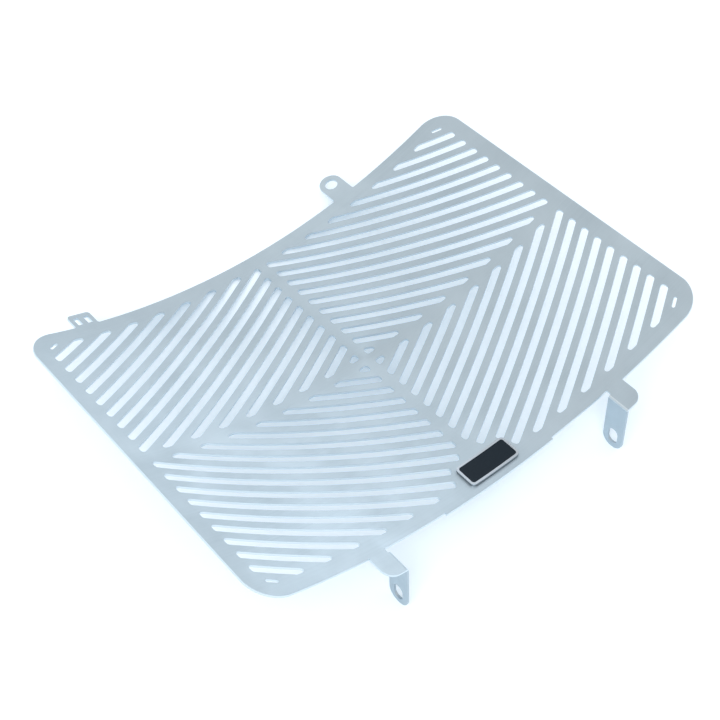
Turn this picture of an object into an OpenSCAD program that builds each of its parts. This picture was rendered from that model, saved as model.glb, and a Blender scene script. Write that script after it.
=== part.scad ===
// Motorcycle radiator guard: one laser-cut sheet, rolled to a shallow curve, with two
// folded brackets, two flat tabs and a small stuck-on badge.
// The hollow front face looks up (+Z) and its middle is the origin. X runs along the
// curved width, Y up the height of the guard, and the radiator is on the -Z side.
// Places along the width are measured along the curved front face.

/* [Sheet] */
// Width of the panel along its curve
panel_w = 353; // [300:1:420]
// Height of the panel
panel_h = 247; // [200:1:300]
// Thickness of the sheet
sheet_t = 1.5; // [1:0.1:2.5]
// Radius of the hollow front face
curve_r = 390; // [320:5:900]
// Radius of the panel's four corners
corner_r = 20; // [14:0.5:30]
// Plain rim between the outline and the slots
rim_w = 10; // [7:0.5:13]
// Radius of the inner corners where the two tabs leave the top edge
root_r = 1.5; // [0.5:0.1:2.5]

/* [Slots] */
// Width of each slot
slot_w = 5.2; // [4:0.1:6.5]
// Distance from one slot to the next
slot_pitch = 10; // [8:0.5:14]
// Slope of the slots against the width
slot_angle = 29.5; // [22:0.5:38]
// Radius of the slots' corners
slot_corner_r = 1.8; // [1:0.1:1.9]
// Distance from the middle to the first slot's centre line
first_slot = 7.5; // [7:0.1:12]
// Width of the plain cross between the four fields of slots
cross_w = 6.4; // [4:0.1:12]
// Length of the nick in each corner of the pattern
nick_l = 7.5; // [5:0.1:9]

/* [Round tab] */
// Place of the round tab along the top edge
round_tab_x = 82; // [40:1:120]
// Width of the round tab
round_tab_w = 16.6; // [14:0.1:22]
// Reach of the round tab past the top edge
round_tab_reach = 22.5; // [18:0.5:30]
// Bolt hole in the round tab
round_tab_bore = 9; // [5:0.1:10]

/* [Strap tab] */
// Place of the strap tab along the top edge
strap_tab_x = -129; // [-145:1:-60]
// Width of the strap tab
strap_tab_w = 16.2; // [15:0.1:24]
// Reach of the strap tab past the top edge
strap_tab_reach = 12.4; // [11:0.1:18]
// Radius of the strap tab's two corners
strap_tab_corner = 2.5; // [1:0.1:4]
// Width of each strap slot
strap_slot_w = 3.3; // [2:0.1:4]
// Length of each strap slot
strap_slot_l = 7; // [5:0.1:8]
// Distance between the two strap slots
strap_slot_gap = 7.2; // [6.5:0.1:8]
// Metal left between the strap slots and the end of the tab
strap_slot_end = 3.6; // [3:0.1:5]

/* [Brackets] */
// Distance from the middle to the inner face of each leg
leg_x = 86.5; // [70:0.5:110]
// Width of each leg
leg_w = 15.5; // [13:0.1:22]
// Distance from the front face's middle back to the centre of the legs' round ends
leg_depth = 23.5; // [18:0.5:40]
// Width of the long bolt hole in each leg
leg_slot_w = 7.5; // [5:0.1:9]
// Length of the long bolt hole in each leg
leg_slot_l = 12; // [9.5:0.1:14]
// Inside radius of the folds
fold_r = 1; // [0.5:0.1:3]
// Gap between the panel's lower edge and each leg
leg_gap = 2.2; // [1.5:0.1:6]
// Width of the flat part of each bracket beside its fold
bracket_w = 12; // [9:0.1:20]

/* [Lower edge] */
// Width of the full-height part of the lower edge under the badge
ledge_w = 85; // [60:1:110]
// Depth of the step on each side of it
step_h = 1.4; // [0.5:0.1:3]

/* [Badge] */
// Width of the badge
badge_w = 38; // [30:0.5:42]
// Height of the badge
badge_h = 16.8; // [12:0.1:18]
// Thickness of the badge plate
badge_t = 1.2; // [0.8:0.1:2]
// Radius of the badge's corners
badge_corner_r = 3.2; // [2:0.1:5]
// Place of the badge along the lower edge
badge_x = 1.8; // [-4:0.1:4]
// Distance from the lower edge of the panel up to the badge
badge_lift = 5; // [2:0.1:7]
// Width of the bright rim round the badge's dark field
badge_rim = 1.5; // [1:0.1:2.5]
// Depth of the recess that the dark field fills
recess_d = 0.4; // [0.3:0.05:0.6]
// Distance from the top of the rim down to the dark field
field_drop = 0.1; // [0.05:0.05:0.2]
// Thickness of the adhesive pad under the badge
pad_t = 0.4; // [0.2:0.1:1]
// Distance that the adhesive pad stays inside the badge's outline
pad_inset = 0.8; // [0.5:0.1:1.5]
// Plain metal kept between the badge and the slots
badge_clear = 3.5; // [2:0.1:5]
// Radius of the plain land's corners round the badge
land_r = 12; // [8:0.5:14]

/* [Hidden] */

// Facets of the large curve and of the small rounds
curve_fn = 256;
round_fn = 48;
// Largest bend between two sides of a round corner, on a slot and on the badge
slot_step = 32;
badge_step = 9;
// Longest straight piece of a slot's side
side_step = 15;
// Narrowest nick that is cut
nick_least = 1;
// Length by which a cutter passes what it cuts, and by which joined parts overlap
past = 3;
// Distance by which a round passes the edge that it would otherwise only touch
edge_pass = 0.03;
// Radius of the sheet's hollow back face
back_r = curve_r + sheet_t;

// Angle of a place along the curved front face
function turn(u) = u / curve_r * 180 / PI;

// Distance from the middle of a straight cut to a place along the curve
function chord(u) = curve_r * sin(turn(u));

// Window in which the slots lie, as half sizes, and the radius of its corners
window = [panel_w / 2 - rim_w, panel_h / 2 - rim_w];
window_r = corner_r - rim_w;
// Directions across and along the slots of the upper right field
across = [sin(slot_angle), cos(slot_angle)];
along = [cos(slot_angle), -sin(slot_angle)];
// Centre of the window's corner, and how far the pattern reaches into that corner
window_corner = window - [window_r, window_r];
pattern_reach = window_corner * across + window_r;
// Number of whole slots in one field, and the nick left over in the corner
slot_count = floor((pattern_reach - slot_w / 2 - first_slot) / slot_pitch) + 1;
nick_w = pattern_reach - (first_slot + slot_count * slot_pitch - slot_w / 2);

// Height of the badge's middle above the panel's middle
badge_y = -panel_h / 2 + badge_lift + badge_h / 2;
// Centre of the round corner of the plain land beside the badge, mirrored into the
// upper right field
land_centre = [badge_w / 2 + badge_clear - land_r, -badge_y - badge_h / 2 - badge_clear + land_r];

// Angle where each bracket's fold starts, and its place along the curve
fold_turn = asin((leg_x + sheet_t + fold_r) / (back_r + fold_r));
fold_u = fold_turn * PI / 180 * curve_r;
// Outer side of each bracket
outer_u = fold_u + bracket_w;
// Centre of the fold's round, across the width and in height
fold_centre = [leg_x + sheet_t + fold_r, curve_r - (back_r + fold_r) * cos(fold_turn)];
// Reach of the longer tab past the top edge
top_reach = max(round_tab_reach, strap_tab_reach);
// Sides of the legs along Y
leg_top = -panel_h / 2 - leg_gap;
leg_mid = leg_top - leg_w / 2;
leg_low = leg_top - leg_w;

// Part of a ring about the axis of the curve, between two places along the curve
module ring(r_in, r_out, u_from, u_to, y_from, y_to) {
    translate([0, 0, curve_r])
        rotate([90, 0, 0])
            rotate_extrude(angle = turn(u_to - u_from), start = turn(u_from) - 90, $fn = curve_fn)
                translate([r_in, -y_to])
                    square([r_out - r_in, y_to - y_from]);
}

// Cutter through the sheet between two places along the curve
module strip(u_from, u_to, y_from, y_to) {
    ring(curve_r - past, back_r + past, u_from, u_to, y_from, y_to);
}

// Moves a shape drawn at the middle of the panel to a place along the curve
module at(u) {
    translate([0, 0, curve_r])
        rotate([0, -turn(u), 0])
            translate([0, 0, -curve_r])
                children();
}

// Straight prism through the sheet at a place along the curve
module through(u, rise = 4) {
    at(u)
        translate([0, 0, -sheet_t - past])
            linear_extrude(sheet_t + 2 * past + rise)
                children();
}

// Part of a convex outline on the side of a line where direction * point <= distance
function clip(outline, direction, distance) = [
    for (i = [0 : len(outline) - 1])
        let (a = outline[i],
             b = outline[(i + 1) % len(outline)],
             over_a = direction * a - distance,
             over_b = direction * b - distance)
            each concat(over_a <= 0 ? [a] : [],
                        over_a * over_b < 0 ? [a + (b - a) * over_a / (over_a - over_b)] : [])
];

// Same, when the outline may already be used up
function clip_left(outline, direction, distance) =
    len(outline) < 3 ? [] : clip(outline, direction, distance);

// Centres of the corner rounds of one slot, in the upper right field
function slot_core(k, badge_side) =
    let (middle = first_slot + k * slot_pitch,
         half = slot_w / 2 - slot_corner_r,
         reach = panel_w,
         band = [(middle - half) * across - reach * along,
                 (middle + half) * across - reach * along,
                 (middle + half) * across + reach * along,
                 (middle - half) * across + reach * along],
         inner = cross_w / 2 + slot_corner_r,
         a = clip_left(band, [-1, 0], -inner),
         b = clip_left(a, [0, -1], -inner),
         c = clip_left(b, [1, 0], window[0] - slot_corner_r),
         d = clip_left(c, [0, 1], window[1] - slot_corner_r),
         aside = max(0, abs(middle - land_centre * across) - slot_w / 2),
         stop = land_centre * along + sqrt(max(0, land_r * land_r - aside * aside)))
    badge_side && aside < land_r ? clip_left(d, -along, -stop - slot_corner_r) : d;

// Left-hand normal of the side of an outline that starts at one corner
function normal(outline, i) =
    let (side = outline[(i + 1) % len(outline)] - outline[i])
        [-side[1], side[0]] / norm(side);

// Convex outline with round corners about the given centres, in clockwise order. Each
// corner bends by at most one step at a time.
function rounded(centres, r, step) = [
    for (i = [0 : len(centres) - 1])
        let (before = normal(centres, (i + len(centres) - 1) % len(centres)),
             start = atan2(before[1], before[0]),
             bend = acos(before * normal(centres, i)),
             steps = ceil(bend / step))
            for (j = [0 : steps])
                let (angle = start - bend * j / steps)
                    centres[i] + r * [cos(angle), sin(angle)]
];

// Same outline, with each long side divided into pieces
function divided(outline, longest) = [
    for (i = [0 : len(outline) - 1])
        let (side = outline[(i + 1) % len(outline)] - outline[i],
             pieces = ceil(norm(side) / longest))
            for (j = [0 : pieces - 1])
                outline[i] + side * j / pieces
];

// Cutter of one slot, laid into its own field by the signs of that field. Its sides are
// straight on the flat sheet, so they bend a little as the sheet is rolled.
module slot(k, sign_x, sign_y) {
    core = slot_core(k, sign_y < 0);
    if (len(core) > 2) {
        outline = divided(rounded(core, slot_corner_r, slot_step), side_step);
        u_values = [for (p = outline) p[0]];
        u_mid = (min(u_values) + max(u_values)) / 2;
        rise = curve_r - sqrt(curve_r * curve_r - pow(chord(max(u_values) - u_mid), 2));
        through(sign_x * u_mid, rise)
            polygon([for (p = outline) [sign_x * chord(p[0] - u_mid), sign_y * p[1]]]);
    }
}

// Cutter of the nick in the corner of one field
module nick(sign_x, sign_y) {
    centre = window_corner + (window_r - nick_w / 2) * across;
    half = (nick_l - nick_w) / 2;
    through(sign_x * centre[0])
        translate([0, sign_y * centre[1]])
            rotate(-sign_x * sign_y * slot_angle) {
                square([2 * half, nick_w], center = true);
                for (end = [-half, half])
                    translate([end, 0])
                        circle(nick_w / 2, $fn = round_fn);
            }
}

// Cutters of the four fields of slots
module slot_fields() {
    for (sign_x = [-1, 1], sign_y = [-1, 1]) {
        for (k = [0 : slot_count - 1])
            slot(k, sign_x, sign_y);
        if (nick_w > nick_least)
            nick(sign_x, sign_y);
    }
}

// Cutter that rounds one corner of the sheet, which lies at u and y
module corner_cut(u, y, r) {
    through(u)
        translate([-sign(u) * r, y - sign(y) * r])
            difference() {
                translate([u > 0 ? 0 : -r - past, y > 0 ? 0 : -r - past])
                    square(r + past);
                circle(r + edge_pass, $fn = 2 * round_fn);
            }
}

// Round tab with its bolt hole, drawn from the top edge
module round_tab_outline() {
    end_y = round_tab_reach - round_tab_w / 2;
    difference() {
        union() {
            translate([-round_tab_w / 2, 0])
                square([round_tab_w, end_y]);
            translate([0, end_y])
                circle(round_tab_w / 2, $fn = 2 * round_fn);
        }
        translate([0, end_y])
            circle(round_tab_bore / 2, $fn = round_fn);
    }
}

// Strap tab with its two slots, drawn from the top edge
module strap_tab_outline() {
    slot_y = strap_tab_reach - strap_slot_end - strap_slot_l / 2;
    corner = [strap_tab_w / 2 - strap_tab_corner, strap_tab_reach - strap_tab_corner];
    difference() {
        union() {
            translate([-strap_tab_w / 2, 0])
                square([strap_tab_w, corner[1]]);
            translate([-corner[0], 0])
                square([2 * corner[0], strap_tab_reach]);
            for (side = [-1, 1])
                translate([side * corner[0], corner[1]])
                    circle(strap_tab_corner, $fn = round_fn);
        }
        for (side = [-1, 1])
            translate([side * strap_slot_gap / 2, slot_y])
                square([strap_slot_w, strap_slot_l], center = true);
    }
}

// Cutter that leaves a tab standing on the top edge, with the outline that is drawn and
// a round at each side of its root
module tab_cut(u, width) {
    root_y = root_r - edge_pass;
    through(u)
        translate([0, panel_h / 2]) {
            difference() {
                translate([-width / 2 - 2 * past, root_y])
                    square([width + 4 * past, top_reach + past]);
                children();
            }
            for (side = [-1, 1])
                translate([side * (width / 2 + root_y), root_y])
                    circle(root_r, $fn = round_fn);
        }
}

// Cutters of everything above the top edge but the two tabs
module top_cuts() {
    strap_side = strap_tab_w / 2 + root_r;
    round_side = round_tab_w / 2 + root_r;
    side = panel_w / 2 + past;
    tab_cut(round_tab_x, round_tab_w)
        round_tab_outline();
    tab_cut(strap_tab_x, strap_tab_w)
        strap_tab_outline();
    for (span = [[-side, strap_tab_x - strap_side],
                 [strap_tab_x + strap_side, round_tab_x - round_side],
                 [round_tab_x + round_side, side]])
        strip(span[0], span[1], panel_h / 2, panel_h / 2 + top_reach + past);
}

// Cutters of everything below the lower edge but the flat parts of the two brackets
module bottom_cuts() {
    translate([-leg_x, leg_low - past, -past - sheet_t])
        cube([2 * leg_x, leg_w + leg_gap + past, fold_centre[1] + sheet_t + 4 * past]);
    for (side = [0, 1])
        mirror([side, 0, 0]) {
            strip(ledge_w / 2, fold_u, leg_top, step_h - panel_h / 2);
            strip(outer_u, panel_w / 2 + past, leg_low - past, -panel_h / 2);
            corner_cut(outer_u, leg_low, leg_w / 2);
        }
}

// Curved sheet with its outline cut, before the legs are folded and the slots cut
module blank() {
    difference() {
        ring(curve_r, back_r, -panel_w / 2, panel_w / 2, leg_low, panel_h / 2 + top_reach);
        top_cuts();
        bottom_cuts();
        for (side_x = [-1, 1], side_y = [-1, 1])
            corner_cut(side_x * panel_w / 2, side_y * panel_h / 2, corner_r);
    }
}

// Long hole with round ends, standing up, with its lower centre at the middle
module long_hole(width, length) {
    run = length - width;
    for (y = [0, run])
        translate([0, y])
            circle(width / 2, $fn = round_fn);
    translate([-width / 2, 0])
        square([width, run]);
}

// Stretch of the right leg and its fold along Y, drawn in the plane across the fold
module across_fold(past_ends = 0) {
    translate([0, leg_top + past_ends, 0])
        rotate([90, 0, 0])
            linear_extrude(leg_w + 2 * past_ends)
                children();
}

// Quarter round about the fold's centre, from the leg round to the flat part
module fold_wedge(reach) {
    translate(fold_centre)
        polygon([
            [0, 0],
            [-reach, 0],
            [-reach, reach],
            reach * [-sin(fold_turn), cos(fold_turn)]
        ]);
}

// Right leg, with the round inside its fold
module leg() {
    top_z = curve_r - sqrt(pow(curve_r + sheet_t / 2, 2) - pow(leg_x + sheet_t / 2, 2));
    translate([leg_x, leg_mid, -leg_depth])
        rotate([90, 0, 90])
            linear_extrude(sheet_t)
                difference() {
                    union() {
                        circle(leg_w / 2, $fn = 2 * round_fn);
                        translate([-leg_w / 2, 0])
                            square([leg_w, top_z + leg_depth]);
                    }
                    long_hole(leg_slot_w, leg_slot_l);
                }
    across_fold()
        difference() {
            intersection() {
                translate(fold_centre)
                    circle(fold_r + sheet_t / 2, $fn = round_fn);
                fold_wedge(fold_r + sheet_t);
            }
            translate(fold_centre)
                circle(fold_r + edge_pass, $fn = round_fn);
        }
}

// Cutter of the round outside the right fold
module fold_round() {
    across_fold(past)
        difference() {
            fold_wedge(fold_r + sheet_t + past);
            translate(fold_centre)
                circle(fold_r + sheet_t + edge_pass, $fn = 2 * round_fn);
        }
}

// The whole folded sheet
module guard_sheet() {
    color("#b4c0c8")
        difference() {
            union() {
                blank();
                for (side = [0, 1])
                    mirror([side, 0, 0])
                        leg();
            }
            for (side = [0, 1])
                mirror([side, 0, 0])
                    fold_round();
            slot_fields();
        }
}

// Rectangle with round corners about the badge's middle, made smaller by an inset
module badge_outline(inset) {
    half = [badge_w / 2 - badge_corner_r, badge_h / 2 - badge_corner_r];
    translate([0, badge_y])
        polygon(rounded([half, [half[0], -half[1]], -half, [-half[0], half[1]]],
                        badge_corner_r - inset, badge_step));
}

// Layer of the badge between two heights above the front face
module badge_layer(low, high, inset) {
    intersection() {
        ring(curve_r - high, curve_r - low, badge_x - badge_w, badge_x + badge_w,
             badge_y - badge_h, badge_y + badge_h);
        at(badge_x)
            linear_extrude(2 * (pad_t + badge_t) + past, center = true)
                badge_outline(inset);
    }
}

module badge_pad() {
    color("#4a4a4a")
        badge_layer(0, pad_t, pad_inset);
}

module badge_plate() {
    color("#dfe7ec")
        difference() {
            badge_layer(pad_t, pad_t + badge_t, 0);
            badge_layer(pad_t + badge_t - recess_d, pad_t + badge_t + recess_d, badge_rim);
        }
}

module badge_field() {
    color("#2c353c")
        badge_layer(pad_t + badge_t - recess_d, pad_t + badge_t - field_drop, badge_rim);
}

guard_sheet();
badge_pad();
badge_plate();
badge_field();
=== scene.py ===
from math import atan2, cos, radians, sin

import bpy
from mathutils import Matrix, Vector

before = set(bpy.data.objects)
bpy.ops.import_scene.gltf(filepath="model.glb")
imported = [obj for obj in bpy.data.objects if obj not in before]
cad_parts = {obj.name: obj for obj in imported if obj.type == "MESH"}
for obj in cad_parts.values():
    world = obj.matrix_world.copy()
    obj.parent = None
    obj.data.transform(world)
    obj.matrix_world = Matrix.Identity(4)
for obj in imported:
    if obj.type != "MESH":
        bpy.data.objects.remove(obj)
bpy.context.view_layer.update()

# Camera, fitted to the photograph: place in metres, turn in degrees, lens and sensor in millimetres
CAMERA_AT = (-0.3684, -0.4730, 0.6720)
CAMERA_TURN = (41.701, 1.711, -39.405)
LENS = 71.055
SENSOR = 36.0

# Colour and strength of the pale room round the guard
ROOM_COLOUR = (1.0, 1.0, 1.0)
ROOM_LIGHT = 0.85

# Side of the floor, and how far it stays below what it carries
FLOOR_SIZE = 60.0
FLOOR_GAP = 0.0001

# The sheet is rolled about an axis along Y, with its hollow front face at this radius
SHEET_R = 0.390
SHEET_T = 0.0015
# The painted highlight on the cut walls begins this far inside each face, so that the faces keep their
# grain
CUT_HIGHLIGHT_MARGIN = 0.0001

# Nearly all noise lies between these two values
NOISE_LOW = 0.3
NOISE_HIGH = 0.7

# How close the cells of noise lie along X, Y and Z: the same each way, or packed along Y as brushed grain
EVEN = (1.0, 1.0, 1.0)
SHEET_GRAIN = (6.0, 900.0, 6.0)
BADGE_GRAIN = (40.0, 2500.0, 40.0)

# Colours of the finishes, as linear red, green and blue
STEEL_DARK = (0.388, 0.466, 0.520)
STEEL_LIGHT = (0.466, 0.548, 0.606)
STEEL_GRAIN = (0.480, 0.565, 0.622)
# Painted highlight, lighter than the steel, on the cut walls and across the folds
STEEL_CUT_HIGHLIGHT = (0.66, 0.745, 0.80)
RIM_DARK = (0.42, 0.47, 0.52)
RIM_LIGHT = (0.50, 0.55, 0.60)
SLATE_DARK = (0.003, 0.009, 0.016)
SLATE_LIGHT = (0.007, 0.015, 0.024)
FOAM_DARK = (0.03, 0.03, 0.032)
FOAM_LIGHT = (0.06, 0.06, 0.064)
FLOOR_DARK = (0.81, 0.86, 0.89)
FLOOR_LIGHT = (0.83, 0.88, 0.91)
# Painted glow of the floor, which lifts the shade under the guard
FLOOR_PAINTED_GLOW = (0.61, 0.80, 1.0)


def opaque(colour):
    """A colour as a socket takes it, with its alpha."""
    return (*colour, 1.0)


def put(node, **inputs):
    """Sets a node's inputs by name, with _ for each space."""
    for name, value in inputs.items():
        node.inputs[name.replace("_", " ")].default_value = value


def add(tree, kind, **inputs):
    """A node of one kind with the named inputs set."""
    made = tree.nodes.new("ShaderNode" + kind)
    put(made, **inputs)
    return made


def material(name):
    """A new node material, with its tree and its shader."""
    made = bpy.data.materials.new(name)
    made.use_nodes = True
    tree = made.node_tree
    return made, tree, tree.nodes["Principled BSDF"]


def noise(tree, stretch=EVEN, scale=1.0, detail=4.0, roughness=0.55, distortion=0.0):
    """Noise in the object's own metres, with scale times stretch cells to a metre along each axis."""
    place = add(tree, "TexCoord")
    mapping = add(tree, "Mapping", Scale=stretch)
    texture = add(tree, "TexNoise", Scale=scale, Detail=detail, Roughness=roughness, Distortion=distortion)
    tree.links.new(place.outputs["Object"], mapping.inputs["Vector"])
    tree.links.new(mapping.outputs["Vector"], texture.inputs["Vector"])
    return texture.outputs["Fac"]


def spread(tree, value, low, high):
    """Noise spread out from one value to another."""
    made = add(tree, "MapRange", From_Min=NOISE_LOW, From_Max=NOISE_HIGH, To_Min=low, To_Max=high)
    tree.links.new(value, made.inputs["Value"])
    return made.outputs["Result"]


def colour_socket(sockets, name):
    """The colour socket of a mix node, which has a socket of this name for each kind of data."""
    return [s for s in sockets if s.name == name and s.type == "RGBA"][0]


def blend(tree, factor, first, second):
    """A colour between two others, each of them a constant or the output of a node."""
    made = add(tree, "Mix")
    made.data_type = "RGBA"
    for name, colour in (("A", first), ("B", second)):
        target = colour_socket(made.inputs, name)
        if isinstance(colour, tuple):
            target.default_value = opaque(colour)
        else:
            tree.links.new(colour, target)
    tree.links.new(factor, made.inputs["Factor"])
    return colour_socket(made.outputs, "Result")


def bump(tree, shader, height, strength, distance):
    """Surface relief from a height, over a distance in metres."""
    made = add(tree, "Bump", Strength=strength, Distance=distance)
    tree.links.new(height, made.inputs["Height"])
    tree.links.new(made.outputs["Normal"], shader.inputs["Normal"])


def cut_edge_highlight_mask(tree):
    """One in the band between the sheet's two faces, where the laser cut through the sheet and where the
    folds cross it, and nought elsewhere: the mask of a painted highlight.
    """
    place = add(tree, "TexCoord")
    across = add(tree, "Mapping", Scale=(1.0, 0.0, 1.0), Location=(0.0, 0.0, -SHEET_R))
    radius = add(tree, "VectorMath")
    radius.operation = "LENGTH"
    between = add(tree, "Math")
    between.operation = "COMPARE"
    value, middle, reach = between.inputs
    middle.default_value = SHEET_R + SHEET_T / 2
    reach.default_value = SHEET_T / 2 - CUT_HIGHLIGHT_MARGIN
    tree.links.new(place.outputs["Object"], across.inputs["Vector"])
    tree.links.new(across.outputs["Vector"], radius.inputs["Vector"])
    tree.links.new(radius.outputs["Value"], value)
    return between.outputs["Value"]


def satin_stainless():
    """Satin stainless sheet: fine grain along X, soft clouds, smudges in the gloss, and a painted highlight
    on the cut edges and across the folds.
    """
    made, tree, shader = material("satin_stainless")
    clouds = noise(tree, scale=22.0)
    grain = noise(tree, SHEET_GRAIN, detail=6.0, roughness=0.6)
    smudges = noise(tree, scale=38.0, detail=5.0, distortion=0.6)
    cloudy = blend(tree, spread(tree, clouds, low=0.0, high=1.0), STEEL_DARK, STEEL_LIGHT)
    grainy = blend(tree, spread(tree, grain, low=0.0, high=0.4), cloudy, STEEL_GRAIN)
    # Painted highlight: the band between the two faces takes the lighter colour
    edge_highlighted = blend(tree, cut_edge_highlight_mask(tree), grainy, STEEL_CUT_HIGHLIGHT)
    gloss = spread(tree, smudges, low=0.36, high=0.48)
    tree.links.new(edge_highlighted, shader.inputs["Base Color"])
    tree.links.new(gloss, shader.inputs["Roughness"])
    put(shader, Metallic=1.0, Anisotropic=0.4)
    bump(tree, shader, grain, strength=0.05, distance=0.0002)
    return made


def badge_metal():
    """Bright, finely brushed plate of the badge."""
    made, tree, shader = material("badge_metal")
    grain = noise(tree, BADGE_GRAIN)
    colour = blend(tree, grain, RIM_DARK, RIM_LIGHT)
    gloss = spread(tree, grain, low=0.24, high=0.34)
    tree.links.new(colour, shader.inputs["Base Color"])
    tree.links.new(gloss, shader.inputs["Roughness"])
    put(shader, Metallic=1.0)
    bump(tree, shader, grain, strength=0.08, distance=0.0001)
    return made


def badge_dark():
    """Dark slate field of the badge, smooth with a faint mottle."""
    made, tree, shader = material("badge_dark")
    mottle = noise(tree, scale=900.0, detail=3.0)
    colour = blend(tree, mottle, SLATE_DARK, SLATE_LIGHT)
    gloss = spread(tree, mottle, low=0.34, high=0.44)
    tree.links.new(colour, shader.inputs["Base Color"])
    tree.links.new(gloss, shader.inputs["Roughness"])
    put(shader, Specular_IOR_Level=0.14, Coat_Weight=0.04, Coat_Roughness=0.12)
    bump(tree, shader, mottle, strength=0.05, distance=0.00005)
    return made


def adhesive():
    """Dull foam of the adhesive pad under the badge."""
    made, tree, shader = material("adhesive")
    cells = noise(tree, scale=2500.0, detail=2.0)
    colour = blend(tree, cells, FOAM_DARK, FOAM_LIGHT)
    tree.links.new(colour, shader.inputs["Base Color"])
    put(shader, Roughness=0.9)
    bump(tree, shader, cells, strength=0.3, distance=0.0001)
    return made


def floor_painted_glow():
    """Pale floor with a faint painted bluish glow, which lifts the shade under the guard and keeps the
    slots light.
    """
    made, tree, shader = material("floor_painted_glow")
    tone = noise(tree, scale=0.8, detail=2.0)
    colour = blend(tree, tone, FLOOR_DARK, FLOOR_LIGHT)
    tree.links.new(colour, shader.inputs["Base Color"])
    put(shader, Roughness=0.9, Specular_IOR_Level=0.1)
    # Painted light: the floor glows faintly bluish, lifting the shade seen through the slots
    put(shader, Emission_Color=opaque(FLOOR_PAINTED_GLOW), Emission_Strength=0.232)
    return made


def dress(node, finish):
    """Gives a CAD node its finish."""
    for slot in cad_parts[node].material_slots:
        slot.material = finish


def floor_contacts():
    """The lowest tip of a leg, and the point of the far half that a floor raised from there meets first."""
    points = [v.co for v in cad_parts["guard_sheet"].data.vertices]
    tip = min(points, key=lambda p: p.z)
    behind = [p for p in points if p.y > 0.0]
    edge = min(behind, key=lambda p: (p.z - tip.z) / (p.y - tip.y))
    return tip, edge


def make_floor():
    """Plain pale floor on which the guard stands on its legs and its far edge."""
    bpy.ops.mesh.primitive_plane_add(size=FLOOR_SIZE)
    floor = bpy.context.object
    floor.name = "floor"
    tip, edge = floor_contacts()
    slope = atan2(edge.z - tip.z, edge.y - tip.y)
    up = Vector((0.0, -sin(slope), cos(slope)))
    floor.rotation_euler = (slope, 0.0, 0.0)
    floor.location = tip - FLOOR_GAP * up
    floor.data.materials.append(floor_painted_glow())


def softbox(name, at, size, power, colour):
    """A large square area light that faces the guard, with its size in metres and power in watts."""
    light = bpy.data.lights.new(name, "AREA")
    light.shape = "SQUARE"
    light.size = size
    light.energy = power
    light.color = colour
    lamp = bpy.data.objects.new(name, light)
    lamp.location = at
    lamp.rotation_euler = Vector(at).to_track_quat("Z", "Y").to_euler()
    bpy.context.collection.objects.link(lamp)


def make_light():
    """Soft studio light: a pale room and three softboxes."""
    world = bpy.data.worlds.new("studio")
    world.use_nodes = True
    put(world.node_tree.nodes["Background"], Color=opaque(ROOM_COLOUR), Strength=ROOM_LIGHT)
    bpy.context.scene.world = world
    softbox("key", at=(-1.4, -1.3, 1.9), size=1.8, power=35.0, colour=(1.0, 0.98, 0.96))
    softbox("back_right", at=(1.9, 0.9, 1.5), size=1.5, power=7.6, colour=(0.84, 0.92, 1.0))
    softbox("far", at=(0.3, 2.0, 1.6), size=1.4, power=3.0, colour=(0.98, 1.0, 1.0))


def make_camera():
    """Camera at the photograph's viewing angle."""
    lens = bpy.data.cameras.new("camera")
    lens.sensor_width = SENSOR
    lens.lens = LENS
    camera = bpy.data.objects.new("camera", lens)
    camera.location = CAMERA_AT
    camera.rotation_euler = [radians(a) for a in CAMERA_TURN]
    bpy.context.collection.objects.link(camera)
    bpy.context.scene.camera = camera


def main():
    """Sets up the studio and gives every piece its finish."""
    make_camera()
    make_light()
    make_floor()
    dress("guard_sheet", satin_stainless())
    dress("badge_pad", adhesive())
    dress("badge_plate", badge_metal())
    dress("badge_field", badge_dark())
    bpy.context.scene.view_settings.view_transform = "Standard"


main()
